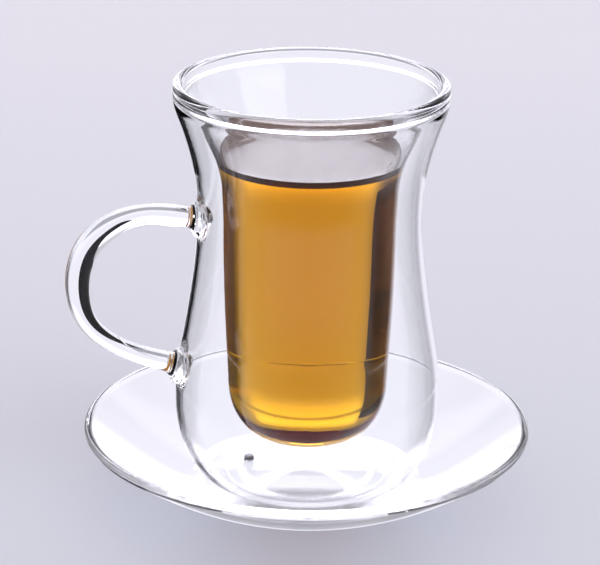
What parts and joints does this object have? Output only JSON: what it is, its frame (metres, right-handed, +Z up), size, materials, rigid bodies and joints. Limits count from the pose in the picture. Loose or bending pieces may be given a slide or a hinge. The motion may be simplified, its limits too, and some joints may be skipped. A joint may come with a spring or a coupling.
{
  "type": "turkish tea glass",
  "caption": "Waisted double-walled tea glass with a fused rod handle, filled with black tea, standing on its clear glass saucer.",
  "frame": {"origin": "centre of the saucer's flat underside, on the axis of the cup and saucer", "axes": "+Z up along the axis of the cup and saucer, -X from the axis out through the handle, +Y square to the handle's plane"},
  "size_m": [0.1206, 0.1158, 0.1099],
  "materials": {
    "clear_glass": "clear polished glass",
    "tea": "clear amber black tea, a liquid",
    "vent_rubber": "matte grey"
  },
  "bodies": {
    "root": {"cup": "clear_glass", "saucer": "clear_glass", "tea": "tea", "vent_plug": "vent_rubber"}
  },
  "joints": []
}
